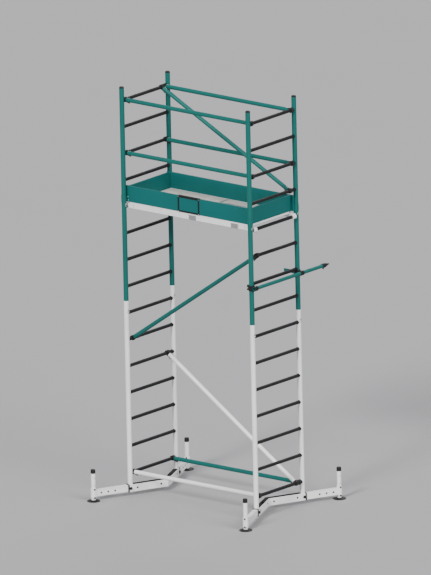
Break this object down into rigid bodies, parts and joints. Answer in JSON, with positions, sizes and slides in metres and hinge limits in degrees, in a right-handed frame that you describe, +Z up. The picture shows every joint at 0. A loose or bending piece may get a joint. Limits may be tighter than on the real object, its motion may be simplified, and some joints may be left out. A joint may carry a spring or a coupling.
{
  "type": "frame scaffold section",
  "caption": "One bay of tower scaffold: ladder ends, braces, hatch platform with guard rails and toe boards, telescoping outriggers and adjustable feet.",
  "frame": {"origin": "on the floor at the middle of the tower", "axes": "+X along the bay towards the end with the wall tie, +Y across the bay towards the wall, +Z up"},
  "size_m": [1.905, 1.4652, 3.849],
  "materials": {
    "white_paint": "satin powder coat",
    "teal_paint": "satin powder coat",
    "teal_board": "painted board",
    "black_paint": "satin black coat",
    "black_casting": "cast, coated black",
    "black_plastic": "moulded, matt",
    "tread_rubber": "ribbed, matt",
    "zinc_steel": "zinc plated",
    "raw_aluminium": "mill finish",
    "deck_ply": "coated plywood, fine mesh print"
  },
  "bodies": {
    "tower": {"base_beam_left": "white_paint", "base_beam_right": "white_paint", "base_beam_treads": "tread_rubber", "base_rail_front": "white_paint", "base_rail_rear": "teal_paint", "brace_claw_latches": "black_casting", "brace_claws": "black_casting", "deck_boards": "deck_ply", "diagonal_brace_lower_rear": "white_paint", "diagonal_brace_middle_front": "teal_paint", "diagonal_brace_upper_rear": "teal_paint", "frame_lock_pins": "zinc_steel", "frame_spigots": "zinc_steel", "guard_uprights_left": "teal_paint", "guard_uprights_right": "teal_paint", "guardrail_front": "teal_paint", "guardrail_rear": "teal_paint", "hatch_hinge_brackets": "zinc_steel", "leg_lock_screws": "black_plastic", "lower_uprights_left": "white_paint", "lower_uprights_right": "white_paint", "midrail_front": "teal_paint", "midrail_rear": "teal_paint", "platform_cross_members": "raw_aluminium", "platform_hooks": "white_paint", "platform_side_rails": "white_paint", "rungs_left": "black_paint", "rungs_right": "black_paint", "toe_board_clips": "teal_paint", "toe_board_front": "teal_board", "toe_board_left": "teal_board", "toe_board_rear": "teal_board", "toe_board_right": "teal_board", "toe_board_sign_frame": "black_paint", "upper_uprights_left": "teal_paint", "upper_uprights_right": "teal_paint", "upright_caps": "black_plastic", "wall_tie_couplers": "black_paint", "wind_lock_pins": "zinc_steel"},
    "leg_left_front": {"outrigger_leg_left_front": "white_paint"},
    "foot_left_front": {"foot_tube_left_front": "white_paint", "foot_pad_and_cap_left_front": "black_plastic"},
    "leg_left_rear": {"outrigger_leg_left_rear": "white_paint"},
    "foot_left_rear": {"foot_tube_left_rear": "white_paint", "foot_pad_and_cap_left_rear": "black_plastic"},
    "leg_right_front": {"outrigger_leg_right_front": "white_paint"},
    "foot_right_front": {"foot_tube_right_front": "white_paint", "foot_pad_and_cap_right_front": "black_plastic"},
    "leg_right_rear": {"outrigger_leg_right_rear": "white_paint"},
    "foot_right_rear": {"foot_tube_right_rear": "white_paint", "foot_pad_and_cap_right_rear": "black_plastic"},
    "hatch": {"hatch_panel": "deck_ply", "hatch_hinge_leaves": "zinc_steel", "hatch_ring_ears": "zinc_steel"},
    "lifting_ring": {"hatch_lifting_ring": "zinc_steel"},
    "wind_lock_left": {"wind_lock_left": "zinc_steel"},
    "wind_lock_right": {"wind_lock_right": "zinc_steel"},
    "wall_tie": {"wall_tie_tube": "teal_paint", "wall_tie_hook": "black_paint"},
    "coupler_lever": {"wall_tie_coupler_lever": "teal_paint"}
  },
  "joints": [
    {"name": "leg_slide_left_front", "type": "slide", "parent": "tower", "child": "leg_left_front", "axis": [-0.4067, -0.9135, 0], "range_m": [-0.227, 0]},
    {"name": "foot_slide_left_front", "type": "slide", "parent": "leg_left_front", "child": "foot_left_front", "axis": [0, 0, -1], "range_m": [0, 0.14]},
    {"name": "leg_slide_left_rear", "type": "slide", "parent": "tower", "child": "leg_left_rear", "axis": [-0.4067, 0.9135, 0], "range_m": [-0.227, 0]},
    {"name": "foot_slide_left_rear", "type": "slide", "parent": "leg_left_rear", "child": "foot_left_rear", "axis": [0, 0, -1], "range_m": [0, 0.14]},
    {"name": "leg_slide_right_front", "type": "slide", "parent": "tower", "child": "leg_right_front", "axis": [0.4067, -0.9135, 0], "range_m": [-0.227, 0]},
    {"name": "foot_slide_right_front", "type": "slide", "parent": "leg_right_front", "child": "foot_right_front", "axis": [0, 0, -1], "range_m": [0, 0.14]},
    {"name": "leg_slide_right_rear", "type": "slide", "parent": "tower", "child": "leg_right_rear", "axis": [0.4067, 0.9135, 0], "range_m": [-0.227, 0]},
    {"name": "foot_slide_right_rear", "type": "slide", "parent": "leg_right_rear", "child": "foot_right_rear", "axis": [0, 0, -1], "range_m": [0, 0.14]},
    {"name": "hatch_hinge", "type": "hinge", "parent": "tower", "child": "hatch", "pos_m": [0.285, -0.272, 2.77], "axis": [1, 0, 0], "range_deg": [0, 95]},
    {"name": "ring_lift", "type": "hinge", "parent": "hatch", "child": "lifting_ring", "pos_m": [0.5, 0.088, 2.7685], "axis": [-1, 0, 0], "range_deg": [0, 110]},
    {"name": "wind_lock_swing_left", "type": "hinge", "parent": "tower", "child": "wind_lock_left", "pos_m": [-0.7115, 0.2525, 2.731], "axis": [0, -1, 0], "range_deg": [0, 60]},
    {"name": "wind_lock_swing_right", "type": "hinge", "parent": "tower", "child": "wind_lock_right", "pos_m": [0.7115, -0.2525, 2.731], "axis": [0, 1, 0], "range_deg": [0, 60]},
    {"name": "wall_tie_slide", "type": "slide", "parent": "tower", "child": "wall_tie", "axis": [0, 1, 0], "range_m": [-0.27, 0]},
    {"name": "coupler_lever_swing", "type": "hinge", "parent": "tower", "child": "coupler_lever", "pos_m": [0.7065, 0.33, 2.182], "axis": [0, 0, -1], "range_deg": [0, 85]}
  ]
}
